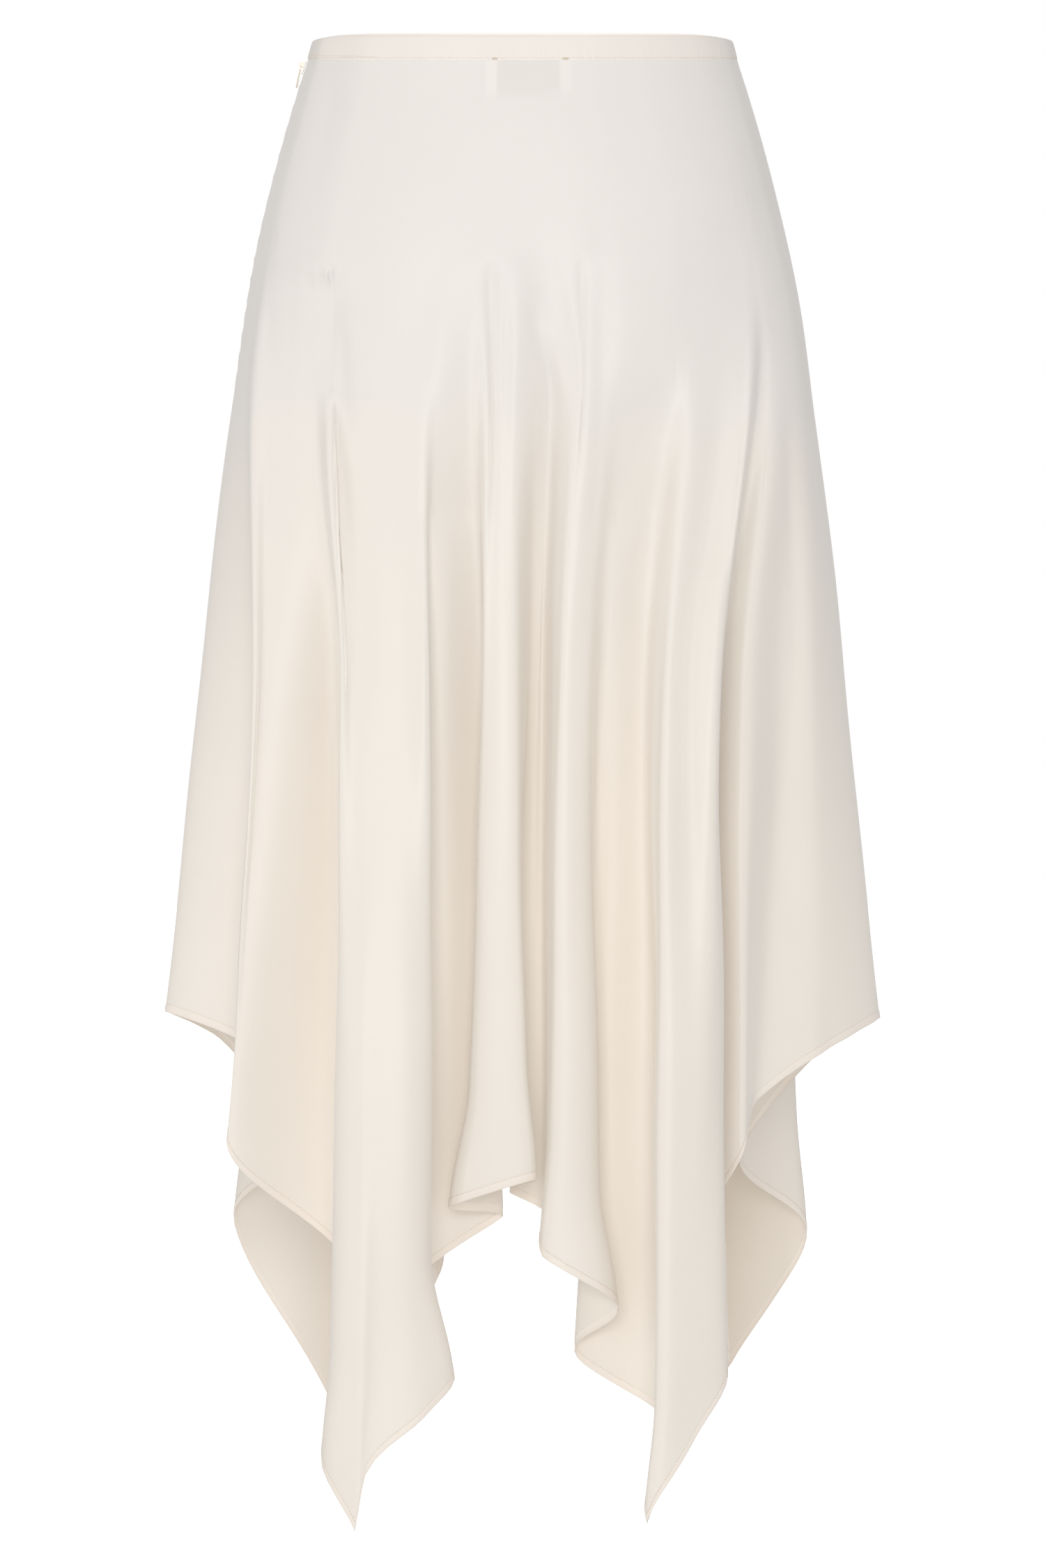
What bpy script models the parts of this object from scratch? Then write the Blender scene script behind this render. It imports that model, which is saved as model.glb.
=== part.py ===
"""Satin midi skirt with a handkerchief hem, hanging in its filled-out form.

The back of the skirt faces -Y and +Z is up. The origin is the centre of the waist.
Every height is measured down from the waist, in millimetres, until a mesh is made.
"""
import math

import bmesh
import bpy
import numpy as np
from mathutils import Matrix, Vector

MM = 0.001

# Cloth and seams
WALL = 1.2
HEM_DEPTH = 5.3
HEM_WALL = 1.8
SEAM_GAP = 0.3

# Waistband, a folded strip sewn to the top of both panels
BAND_HEIGHT = 15.8
BAND_WALL = 2.0
BAND_PROUD = 0.4
BAND_CORNER_DIP = 4.0
BAND_CORNER_POWER = 14
WAIST_TILT = 0.084

# Plan shape of the filled-out skirt, before its folds
SQUARENESS = 2.5
PROFILE_COLUMNS = ("drop", "half_width", "back_depth", "front_depth")
PROFILE = (
    (-10, 130.8, 90, 90),
    (8, 135.5, 92, 92),
    (27, 141.5, 97, 95),
    (58, 150.7, 105, 100),
    (102, 162.1, 114, 106),
    (168, 176.0, 122, 111),
    (234, 185.2, 126, 113),
    (322, 195.1, 126, 114),
    (410, 204.4, 124, 114),
    (608, 225.7, 120, 112),
    (930, 260.0, 118, 112),
)

# One row for each fold line, in order round the skirt from the wearer's left side seam.
# hip, mid and low are its sideways places at the last three FOLD_LEVELS, and at the first,
# the waist, it keeps its share of the width. flick is how far it swings sideways just above
# the hem. out is how far it stands out of the plan shape, below nothing in a valley.
# start is where the fold begins and hem is where the cloth ends.
FOLD_LEVELS = (8, 168, 410, 650)
WAIST_LEVEL, HIP_LEVEL, _, LOW_LEVEL = FOLD_LEVELS
FOLD_COLUMNS = ("hip", "mid", "low", "flick", "out", "start", "hem")
BACK_FOLDS = (
    (-168, -158, -157, 0, -34, 110, 642),
    (-162, -167, -180, -2, 16, 60, 688),
    (-130, -112, -107, 0, -24, 200, 771),
    (-118, -112, -115, -6, 44, 200, 886),
    (-108, -101, -100, -4, 56, 240, 924),
    (-96, -88, -90, -4, 54, 240, 889),
    (-78, -73, -68, 4, 48, 240, 854),
    (-60, -58, -56, 12, 32, 200, 832),
    (-50, -59, -66, 0, -12, 200, 778),
    (-32, -23, -15, 0, -28, 150, 734),
    (-21, -24, -33, -9, 8, 110, 727),
    (-6, -5, 2, 5, 8, 110, 710),
    (11, 4, -5, 0, -34, 110, 720),
    (19, 12, 12, 0, -38, 110, 730),
    (37, 24, 20, -6, 18, 110, 757),
    (50, 41, 46, 9, 10, 150, 788),
    (62, 49, 39, 0, -26, 200, 818),
    (92, 75, 81, 0, -26, 160, 858),
    (104, 88, 85, -6, 52, 220, 919),
    (122, 104, 105, -2, 50, 240, 872),
    (140, 121, 124, 1, 38, 150, 830),
    (148, 118, 104, 0, -24, 170, 760),
    (154, 138, 137, 0, 10, 210, 694),
    (162, 160, 147, 0, -22, 220, 664),
    (169, 184, 188, 0, -26, 250, 634),
)
FRONT_FOLDS = (
    (171, 186, 199, 0, -32, 230, 628),
    (164, 152, 141, 0, -44, 220, 704),
    (154, 166, 175, 3, 2, 200, 751),
    (128, 126, 130, 2, 24, 250, 838),
    (108, 102, 96, -2, 50, 240, 905),
    (98, 106, 122, -3, -24, 240, 826),
    (82, 80, 86, 0, 0, 230, 790),
    (66, 64, 62, 0, -34, 200, 756),
    (42, 40, 34, 6, 26, 200, 724),
    (12, 14, 12, 0, -30, 180, 714),
    (-16, -20, -16, -5, 28, 210, 716),
    (-42, -46, -44, 0, -32, 190, 742),
    (-66, -68, -62, 4, 22, 200, 784),
    (-88, -90, -88, 0, -28, 200, 836),
    (-106, -106, -106, 2, 50, 230, 905),
    (-130, -124, -124, -2, 24, 240, 858),
    (-154, -166, -177, -4, 4, 190, 741),
    (-163, -156, -145, 0, -42, 200, 696),
    (-171, -186, -198, 0, -32, 220, 624),
)
SIDE_HEM_LEFT = 609
SIDE_HEM_RIGHT = 613
CORNER_HEM = 900
FOLD_REACH = 420.0
FOLD_BITE = 0.8
FLICK_REACH = 75.0

# Steps along and down the cloth from which its direction is worked out
STEP_ALONG = 0.02
STEP_DOWN = 1.0

# Mesh density: the width of a face at the hem and the faces down a panel
COLUMN_WIDTH = 18.0
PANEL_ROWS = 18

# Care label inside the back of the waist
LABEL_LEFT = -23.0
LABEL_RIGHT = 30.3
LABEL_TOP = 18.5
LABEL_BOTTOM = 36.5
LABEL_LEVEL = 27.0
LABEL_WALL = 1.0

# Invisible zip in the wearer's left side seam
ZIP_TOP = -3.0
ZIP_BOTTOM = 204.0
ZIP_TAPE_WIDTH = 22.0
ZIP_TAPE_WALL = 1.0
ZIP_TAPE_INSET = 2.3
ZIP_TAPE_ROWS = 12
ZIP_TAPE_COLUMNS = 7
SLIDER_DROP = 13.5
SLIDER_WIDTH = 4.6
SLIDER_LENGTH = 8.0
SLIDER_PLATE = 1.6
PIN_RADIUS = 0.45
PIN_HEIGHT = 3.2
PIN_OFFSET = -1.6
LUG_WALL = 0.9
LUG_RADIUS = 1.2
EYE_RADIUS = 1.55
EYE_HOLE = 0.8
EYE_WIDTH = 1.6
PIN_SIDES = 8
EYE_SIDES = 12
PULL_LENGTH = 15.0
PULL_WIDTH = 5.0
PULL_NECK = 1.6
PULL_NECK_LENGTH = 3.2
PULL_ROOT = 1.1
PULL_ARC = math.radians(80.0)
PULL_ARC_POINTS = 11
PULL_WALL = 0.9
PULL_LEAN = math.radians(6.0)

SATIN = (0.80, 0.765, 0.70, 1.0)
BAND_SATIN = (0.79, 0.75, 0.685, 1.0)
LABEL_WHITE = (0.72, 0.71, 0.68, 1.0)
ZIP_IVORY = (0.66, 0.58, 0.47, 1.0)


def smooth_through(levels, values, drops):
    """A smooth curve through the values at the levels, read at the drops."""
    levels = np.asarray(levels, float)
    values = np.asarray(values, float)
    slopes = np.gradient(values, levels)
    cell = np.clip(np.searchsorted(levels, drops) - 1, 0, len(levels) - 2)
    step = levels[cell + 1] - levels[cell]
    share = (drops - levels[cell]) / step
    inside = np.clip(share, 0, 1)
    past = (share - inside) * step * slopes[np.where(share < 0, cell, cell + 1)]
    square, cube = inside ** 2, inside ** 3
    start = (2 * cube - 3 * square + 1) * values[cell] + (cube - 2 * square + inside) * step * slopes[cell]
    end = (3 * square - 2 * cube) * values[cell + 1] + (cube - square) * step * slopes[cell + 1]
    return start + end + past


def ease(share):
    """A soft step from 0 to 1."""
    share = np.clip(share, 0, 1)
    return share * share * (3 - 2 * share)


def profile(name, drops):
    """Half width or depth of the filled-out skirt at the drops."""
    column = PROFILE_COLUMNS.index(name)
    return smooth_through([row[0] for row in PROFILE], [row[column] for row in PROFILE], drops)


def fold_line(row, side, drops):
    """Plan place of one fold line at the drops. side is -1 on the back and 1 on the front."""
    fold = dict(zip(FOLD_COLUMNS, row))
    waist_share = profile("half_width", WAIST_LEVEL) / profile("half_width", HIP_LEVEL)
    places = (fold["hip"] * waist_share, fold["hip"], fold["mid"], fold["low"])
    x = smooth_through(FOLD_LEVELS, places, drops)
    x = x + fold["flick"] * ease((drops - fold["hem"] + FLICK_REACH) / FLICK_REACH)
    share = np.clip(np.abs(x) / profile("half_width", drops), 0, 0.999)
    depth = profile("back_depth" if side < 0 else "front_depth", drops)
    rounded = (1 - share ** SQUARENESS) ** (1 / SQUARENESS)
    growth = ease(np.clip((drops - fold["start"]) / FOLD_REACH, 0, 1) ** FOLD_BITE)
    return x, side * (depth * rounded + fold["out"] * growth)


def all_lines(drops):
    """Every fold line and both side seams round the skirt, as arrays (line, drop)."""
    half_width = profile("half_width", drops)
    lines = [(-half_width, np.zeros_like(drops))]
    lines += [fold_line(row, -1, drops) for row in BACK_FOLDS]
    lines += [(half_width, np.zeros_like(drops))]
    lines += [fold_line(row, 1, drops) for row in FRONT_FOLDS]
    return np.array([line[0] for line in lines]), np.array([line[1] for line in lines])


LINES = len(BACK_FOLDS) + len(FRONT_FOLDS) + 2
RIGHT_SEAM = len(BACK_FOLDS) + 1
BACK_HEMS = [row[-1] for row in BACK_FOLDS]
FRONT_HEMS = [row[-1] for row in FRONT_FOLDS]
LINE_HEMS = np.array([SIDE_HEM_LEFT, *BACK_HEMS, SIDE_HEM_RIGHT, *FRONT_HEMS], float)


def plan(around, drops):
    """Points of the outer surface. around counts fold lines and drops are heights below the waist."""
    around, drops = np.broadcast_arrays(np.asarray(around, float), np.asarray(drops, float))
    xs, ys = all_lines(drops.ravel())
    flat = around.ravel() % LINES
    first = np.floor(flat).astype(int)
    rank = np.arange(flat.size)
    lines = [(first + k) % LINES for k in (-1, 0, 1, 2)]
    near = [np.stack([xs[line, rank], ys[line, rank]]) for line in lines]
    knots = [np.zeros(flat.size)]
    for before, after in zip(near, near[1:]):
        knots.append(knots[-1] + np.sqrt(np.hypot(*(after - before))) + 1e-9)
    place = knots[1] + (flat - first) * (knots[2] - knots[1])

    def mix(low, high, start, end):
        return low * (end - place) / (end - start) + high * (place - start) / (end - start)

    pairs = [mix(near[k], near[k + 1], knots[k], knots[k + 1]) for k in range(3)]
    curves = [mix(pairs[k], pairs[k + 1], knots[k], knots[k + 2]) for k in range(2)]
    x, y = mix(curves[0], curves[1], knots[1], knots[2])
    return np.stack([x, y, -drops.ravel()], axis=1).reshape(around.shape + (3,))


def outward(around, drops):
    """Unit normals of the outer surface."""
    around, drops = np.asarray(around, float), np.asarray(drops, float)
    along = plan(around + STEP_ALONG, drops) - plan(around - STEP_ALONG, drops)
    upward = plan(around, drops - STEP_DOWN) - plan(around, drops + STEP_DOWN)
    normal = np.cross(along, upward)
    return normal / np.linalg.norm(normal, axis=-1, keepdims=True)


def segment_lengths(drop):
    """Straight distance from each line to the next at one drop."""
    xs, ys = all_lines(np.array([float(drop)]))
    return np.hypot(np.roll(xs[:, 0], -1) - xs[:, 0], np.roll(ys[:, 0], -1) - ys[:, 0])


def hem_drop(around):
    """Where the cloth ends. The corner lines stay sharp and the others are smoothed."""
    lengths = segment_lengths(LOW_LEVEL)
    rise = np.roll(LINE_HEMS, -1) - LINE_HEMS
    steep = rise / lengths
    behind = np.roll(steep, 1)
    turning = np.where(behind * steep > 0, 2 * behind * steep / (behind + steep + 1e-12), 0)
    corner = LINE_HEMS > CORNER_HEM
    around = np.asarray(around, float) % LINES
    first = np.floor(around).astype(int)
    after = (first + 1) % LINES
    share = around - first
    leave = np.where(corner[first], steep[first], turning[first]) * lengths[first]
    arrive = np.where(corner[after], steep[first], turning[after]) * lengths[first]
    square, cube = share ** 2, share ** 3
    start = (2 * cube - 3 * square + 1) * LINE_HEMS[first] + (cube - 2 * square + share) * leave
    return start + (3 * square - 2 * cube) * LINE_HEMS[after] + (cube - square) * arrive


def waist_lift(around):
    """How far the tilted waist lies above the origin, all round."""
    return WAIST_TILT * plan(around, WAIST_LEVEL)[..., 1]


def cloth_object(name, outer, inner, colour):
    """One closed wall between two grids of points, (row, column, 3), rows from top to bottom."""
    rows, columns = outer.shape[:2]
    vertices = np.concatenate([outer.reshape(-1, 3), inner.reshape(-1, 3)]) * MM
    half = rows * columns
    faces = []
    for column in range(columns - 1):
        side = column + 1
        for row in range(rows - 1):
            a, b = row * columns + column, row * columns + side
            c, d = a + columns, b + columns
            faces.append((a, c, d, b))
            faces.append((half + a, half + b, half + d, half + c))
        low = (rows - 1) * columns
        faces.append((column, side, half + side, half + column))
        faces.append((low + side, low + column, half + low + column, half + low + side))
    for row in range(rows - 1):
        a, c = row * columns, (row + 1) * columns
        b, d = a + columns - 1, c + columns - 1
        faces.append((a, half + a, half + c, c))
        faces.append((b, d, half + d, half + b))
    return mesh_object(name, vertices, faces, colour)


def mesh_object(name, vertices, faces, colour, roughness=0.38, metallic=0.0):
    """A named object with its own material."""
    mesh = bpy.data.meshes.new(name)
    mesh.from_pydata([tuple(point) for point in vertices], [], faces)
    mesh.validate()
    mesh.update()
    body = bpy.data.objects.new(name, mesh)
    bpy.context.scene.collection.objects.link(body)
    material = bpy.data.materials.new(name)
    material.use_nodes = True
    shader = material.node_tree.nodes["Principled BSDF"]
    shader.inputs["Base Color"].default_value = colour
    shader.inputs["Roughness"].default_value = roughness
    shader.inputs["Metallic"].default_value = metallic
    mesh.materials.append(material)
    return body


def panel_columns(first_line, last_line):
    """Column places of a panel, closer where its folds need them, just clear of both seams."""
    lengths = segment_lengths(LOW_LEVEL)
    places = []
    for line in range(first_line, last_line):
        parts = max(2, math.ceil(lengths[line % LINES] / COLUMN_WIDTH))
        places += [line + part / parts for part in range(parts)]
    return np.array(places + [last_line], float)


def make_panel(name, first_line, last_line):
    """Half of the skirt, from one side seam to the other, with a thicker turned hem."""
    columns = panel_columns(first_line, last_line)
    top = BAND_HEIGHT / 2 + SEAM_GAP - waist_lift(columns)
    bottom = hem_drop(columns)
    shares = np.linspace(0, 1, PANEL_ROWS)[:, None]
    drops = top + (bottom - HEM_DEPTH - top) * shares
    drops = np.concatenate([drops, bottom[None, :]])
    lengths_here = np.array([segment_lengths(drop) for drop in drops[:, 0]])
    around = np.repeat(columns[None, :], len(drops), axis=0)
    around[:, 0] += SEAM_GAP / 2 / lengths_here[:, first_line % LINES]
    around[:, -1] -= SEAM_GAP / 2 / lengths_here[:, (last_line - 1) % LINES]
    outer = plan(around, drops)
    thickness = np.full(drops.shape, WALL)
    thickness[-1] = HEM_WALL
    inner = outer - outward(around, drops) * thickness[..., None]
    inner[0, :, 2] = outer[0, :, 2]
    return cloth_object(name, outer, inner, SATIN)


def make_waistband():
    """A standing strip round the waist, open at the zip in the left side seam."""
    gap = SEAM_GAP / 2 / segment_lengths(WAIST_LEVEL)[0]
    fine = np.array([0.25, 0.5, 0.75])
    seams = [fine, RIGHT_SEAM - fine[::-1], RIGHT_SEAM + fine, LINES - fine[::-1]]
    places = np.unique(np.concatenate([[gap], *seams, np.arange(1, LINES, 0.5), [LINES - gap]]))
    spread = np.abs(plan(places, WAIST_LEVEL)[:, 0]) / profile("half_width", WAIST_LEVEL)
    lift = waist_lift(places)
    top = -BAND_HEIGHT / 2 + BAND_CORNER_DIP * spread ** BAND_CORNER_POWER - lift
    bottom = BAND_HEIGHT / 2 - lift
    drops = np.stack([top, (top + bottom) / 2, bottom])
    around = np.repeat(places[None, :], 3, axis=0)
    surface = plan(around, drops)
    normal = outward(around, drops)
    normal[..., 2] = 0
    outer = surface + normal * BAND_PROUD
    inner = outer - normal * BAND_WALL
    return cloth_object("waistband", outer, inner, BAND_SATIN)


def make_label():
    """A blank care label that lies just inside the back, below the band."""
    search = np.arange(1, RIGHT_SEAM - 1, STEP_ALONG)
    left, right = np.interp([LABEL_LEFT, LABEL_RIGHT], plan(search, LABEL_LEVEL)[:, 0], search)
    around, drops = np.meshgrid(np.linspace(left, right, 7), np.linspace(LABEL_TOP, LABEL_BOTTOM, 3))
    surface = plan(around, drops)
    normal = outward(around, drops)
    face = surface - normal * (WALL + SEAM_GAP)
    return cloth_object("care_label", face, face - normal * LABEL_WALL, LABEL_WHITE)


def make_zip_tape():
    """The zip's tape, inside the side seam and the end of the band."""
    drops = np.linspace(ZIP_TOP, ZIP_BOTTOM, ZIP_TAPE_ROWS)
    shares = np.linspace(-1, 1, ZIP_TAPE_COLUMNS)
    around = np.empty((len(drops), len(shares)))
    for row, drop in enumerate(drops):
        lengths = segment_lengths(drop)
        reach = shares * ZIP_TAPE_WIDTH / 2
        around[row] = np.where(reach < 0, reach / lengths[-1], reach / lengths[0])
    heights = np.repeat(drops[:, None], len(shares), axis=1)
    surface = plan(around, heights)
    normal = outward(around, heights)
    normal[..., 2] = 0
    face = surface - normal * ZIP_TAPE_INSET
    return cloth_object("zip_tape", face, face - normal * ZIP_TAPE_WALL, ZIP_IVORY)


def zip_frame():
    """Frame of the slider: X runs down the seam, Y across it and Z outward."""
    width = profile("half_width", SLIDER_DROP)
    slope = (profile("half_width", SLIDER_DROP + STEP_DOWN) - width) / STEP_DOWN
    down = Vector((-slope, 0, -1)).normalized()
    across = Vector((0, -1, 0))
    out = down.cross(across)
    frame = Matrix((down, across, out)).transposed().to_4x4()
    frame.translation = Vector((-width, 0, -SLIDER_DROP)) * MM
    return frame


def box(bottom, top):
    """Vertices and faces of a box between two corners."""
    (low_x, low_y, low_z), (high_x, high_y, high_z) = bottom, top
    corners = [(x, y, z) for x in (low_x, high_x) for y in (low_y, high_y) for z in (low_z, high_z)]
    faces = [(0, 1, 3, 2), (4, 6, 7, 5), (0, 4, 5, 1), (2, 3, 7, 6), (0, 2, 6, 4), (1, 5, 7, 3)]
    return corners, faces


def prism_faces(count):
    """Faces of a prism whose lower outline comes before its upper one."""
    faces = [tuple(range(count)), tuple(range(2 * count - 1, count - 1, -1))]
    return faces + [(k, k + count, (k + 1) % count + count, (k + 1) % count) for k in range(count)]


def prism_across(outline, low, high):
    """Vertices and faces of an outline in X and Z, drawn out along Y."""
    vertices = [(x, low, z) for x, z in outline] + [(x, high, z) for x, z in outline]
    return vertices, prism_faces(len(outline))


def prism_outward(outline, low, high):
    """Vertices and faces of an outline in X and Y, drawn out along Z."""
    vertices = [(x, y, low) for x, y in outline] + [(x, y, high) for x, y in outline]
    return vertices, prism_faces(len(outline))


def ring_points(centre, radius, count):
    """Points of a circle in X and Z, in millimetres."""
    turns = [2 * math.pi * k / count for k in range(count)]
    return [(centre[0] + radius * math.cos(turn), centre[1] + radius * math.sin(turn)) for turn in turns]


def join_solids(name, solids, cutters, colour):
    """Unite solids and cut holes from them, as one body."""
    body = solid_object(name, solids[0], colour)
    others = [("UNION", solid) for solid in solids[1:]] + [("DIFFERENCE", cutter) for cutter in cutters]
    for number, (operation, solid) in enumerate(others):
        tool = solid_object(f"{name}_tool_{number}", solid, colour)
        tool.hide_render = True
        tool.display_type = "WIRE"
        cut = body.modifiers.new(f"{operation.lower()}_{number}", "BOOLEAN")
        cut.operation = operation
        cut.solver = "EXACT"
        cut.object = tool
    return body


def solid_object(name, solid, colour):
    """A metal object from millimetre vertices, with its faces turned outward."""
    vertices, faces = solid
    body = mesh_object(name, np.array(vertices, float) * MM, faces, colour, roughness=0.3, metallic=0.6)
    shape = bmesh.new()
    shape.from_mesh(body.data)
    bmesh.ops.recalc_face_normals(shape, faces=shape.faces)
    shape.to_mesh(body.data)
    shape.free()
    body.matrix_world = zip_frame()
    return body


def make_slider():
    """The slider's plate, its two lugs and the pin between them."""
    half = SLIDER_WIDTH / 2
    lug_inner = EYE_WIDTH / 2 + SEAM_GAP
    plate = box((-SLIDER_LENGTH / 2, -half, BAND_PROUD + SEAM_GAP), (SLIDER_LENGTH / 2, half, SLIDER_PLATE))
    lug_outline = ring_points((PIN_OFFSET, PIN_HEIGHT), LUG_RADIUS, EYE_SIDES)
    solids = [plate]
    for side in (-1, 1):
        low, high = sorted((side * lug_inner, side * (lug_inner + LUG_WALL)))
        solids.append(prism_across(lug_outline, low, high))
        foot_low = (PIN_OFFSET - LUG_RADIUS, low, SLIDER_PLATE / 2)
        foot_high = (PIN_OFFSET + LUG_RADIUS, high, PIN_HEIGHT)
        solids.append(box(foot_low, foot_high))
    pin_reach = lug_inner + LUG_WALL / 2
    pin_outline = ring_points((PIN_OFFSET, PIN_HEIGHT), PIN_RADIUS, PIN_SIDES)
    pin = prism_across(pin_outline, -pin_reach, pin_reach)
    return join_solids("zip_slider", solids + [pin], [], ZIP_IVORY)


def make_pull():
    """The drop-shaped pull, its eye round the slider's pin."""
    eye = prism_across(ring_points((0, 0), EYE_RADIUS, EYE_SIDES), -EYE_WIDTH / 2, EYE_WIDTH / 2)
    hole = prism_across(ring_points((0, 0), EYE_HOLE, EYE_SIDES), -EYE_WIDTH, EYE_WIDTH)
    tab_round = PULL_WIDTH / 2
    round_centre = PULL_LENGTH - tab_round
    neck = PULL_NECK / 2
    outline = [(PULL_ROOT, neck), (PULL_ROOT, -neck), (PULL_NECK_LENGTH, -neck)]
    for turn in np.linspace(-PULL_ARC, PULL_ARC, PULL_ARC_POINTS):
        outline.append((round_centre + tab_round * math.cos(turn), tab_round * math.sin(turn)))
    outline.append((PULL_NECK_LENGTH, neck))
    tab = prism_outward(outline, -PULL_WALL / 2, PULL_WALL / 2)
    pull = join_solids("zip_pull", [eye, tab], [hole], ZIP_IVORY)
    pin_place = Matrix.Translation(Vector((PIN_OFFSET, 0, PIN_HEIGHT)) * MM)
    lean = Matrix.Rotation(PULL_LEAN, 4, "Y")
    for piece in [pull] + [modifier.object for modifier in pull.modifiers]:
        piece.matrix_world = zip_frame() @ pin_place @ lean
    return pull


def main():
    for old in list(bpy.data.objects):
        bpy.data.objects.remove(old, do_unlink=True)
    make_panel("back_panel", 0, RIGHT_SEAM)
    make_panel("front_panel", RIGHT_SEAM, LINES)
    make_waistband()
    make_label()
    make_zip_tape()
    make_slider()
    make_pull()
    bpy.context.view_layer.update()


main()
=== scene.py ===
# %% [markdown]
# # A satin skirt with a handkerchief hem
#
# The real object is a flared skirt in ivory satin. It has two panels, a narrow folded waistband,
# an invisible zip in the wearer's left side seam and a hem whose corners fall in long points.
# It hangs filled out and hollow, with its back towards the camera.
#
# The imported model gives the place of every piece. This lesson replaces its thick cloth walls by
# thin satin on the same form, then adds the creases, the turned hem, the stitches and the light.

# %% Load the frame
import math

import bpy
import numpy as np
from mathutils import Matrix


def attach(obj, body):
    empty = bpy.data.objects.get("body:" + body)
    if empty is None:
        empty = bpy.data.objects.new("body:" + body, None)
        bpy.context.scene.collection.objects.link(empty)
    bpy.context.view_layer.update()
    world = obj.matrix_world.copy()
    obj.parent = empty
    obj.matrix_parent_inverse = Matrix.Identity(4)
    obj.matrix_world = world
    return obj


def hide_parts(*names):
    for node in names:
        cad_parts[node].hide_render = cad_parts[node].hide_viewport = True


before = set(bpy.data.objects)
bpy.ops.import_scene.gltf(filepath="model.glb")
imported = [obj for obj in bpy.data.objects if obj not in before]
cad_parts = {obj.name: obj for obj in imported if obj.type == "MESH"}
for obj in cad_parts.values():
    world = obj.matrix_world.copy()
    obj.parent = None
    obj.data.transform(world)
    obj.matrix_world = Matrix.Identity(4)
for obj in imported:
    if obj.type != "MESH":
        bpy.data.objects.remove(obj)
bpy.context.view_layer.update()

# %% [markdown]
# The camera comes first, because every later choice is judged through it. A long lens far away
# keeps the waist seam almost straight, as the photograph does. The photograph is 1500 by 2250
# pixels, and one pixel is 0.44 mm at the skirt's side seams.

# %% Camera at the photograph's angle
PIXEL = 0.00044
LENS_DISTANCE = 6.0
VIEW_HEIGHT = -0.4653
SENSOR = 36.0
FRAME_HEIGHT = 2250 * PIXEL

camera_data = bpy.data.cameras.new("camera")
camera = bpy.data.objects.new("camera", camera_data)
bpy.context.scene.collection.objects.link(camera)
camera.location = (0, -LENS_DISTANCE, VIEW_HEIGHT)
camera.rotation_euler = (math.radians(90), 0, 0)
camera_data.sensor_width = SENSOR
camera_data.lens = SENSOR * LENS_DISTANCE / FRAME_HEIGHT
camera_data.clip_end = 100
bpy.context.scene.camera = camera
print("lens", round(camera_data.lens, 1), "mm")

# %% [markdown]
# A skirt like this is a smooth tube over the hips that breaks into folds below them. So its form
# is written as fold lines: each row of the tables is one ridge, valley or turn of the cloth. The
# numbers are millimetres, and heights are counted down from the waist. They repeat the sizes of
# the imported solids, so the thin cloth lies exactly on them.

# %% Sizes of the garment
MM = 0.001
WALL = 1.2
SEAM_GAP = 0.3
BAND_HEIGHT = 15.8
BAND_WALL = 2.0
BAND_PROUD = 0.3
BAND_CORNER_DIP = 4.0
BAND_CORNER_POWER = 14
WAIST_TILT = 0.084
HEM_DEPTH = 5.3
SQUARENESS = 2.5

PROFILE_COLUMNS = ("drop", "half_width", "back_depth", "front_depth")
PROFILE = (
    (-10, 130.8, 90, 90),
    (8, 135.5, 92, 92),
    (27, 141.5, 97, 95),
    (58, 150.7, 105, 100),
    (102, 162.1, 114, 106),
    (168, 176.0, 122, 111),
    (234, 185.2, 126, 113),
    (322, 195.1, 126, 114),
    (410, 204.4, 124, 114),
    (608, 225.7, 120, 112),
    (930, 260.0, 118, 112),
)

FOLD_LEVELS = (8, 168, 410, 650)
WAIST_LEVEL, HIP_LEVEL, MID_LEVEL, LOW_LEVEL = FOLD_LEVELS
FOLD_COLUMNS = ("hip", "mid", "low", "flick", "out", "start", "hem")
BACK_FOLDS = (
    (-168, -158, -157, 0, -34, 110, 642),
    (-162, -167, -180, -2, 16, 60, 688),
    (-130, -112, -107, 0, -24, 200, 771),
    (-118, -112, -115, -6, 44, 200, 886),
    (-108, -101, -100, -4, 56, 240, 924),
    (-96, -88, -90, -4, 54, 240, 889),
    (-78, -73, -68, 4, 48, 240, 854),
    (-60, -58, -56, 12, 32, 200, 832),
    (-50, -59, -66, 0, -12, 200, 778),
    (-32, -23, -15, 0, -28, 150, 734),
    (-21, -24, -33, -9, 8, 110, 727),
    (-6, -5, 2, 5, 8, 110, 710),
    (11, 4, -5, 0, -34, 110, 720),
    (19, 12, 12, 0, -38, 110, 730),
    (37, 24, 20, -6, 18, 110, 757),
    (50, 41, 46, 9, 10, 150, 788),
    (62, 49, 39, 0, -26, 200, 818),
    (92, 75, 81, 0, -26, 160, 858),
    (104, 88, 85, -6, 52, 220, 919),
    (122, 104, 105, -2, 50, 240, 872),
    (140, 121, 124, 1, 38, 150, 830),
    (148, 118, 104, 0, -24, 170, 760),
    (154, 138, 137, 0, 10, 210, 694),
    (162, 160, 147, 0, -22, 220, 664),
    (169, 184, 188, 0, -26, 250, 634),
)
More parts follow.
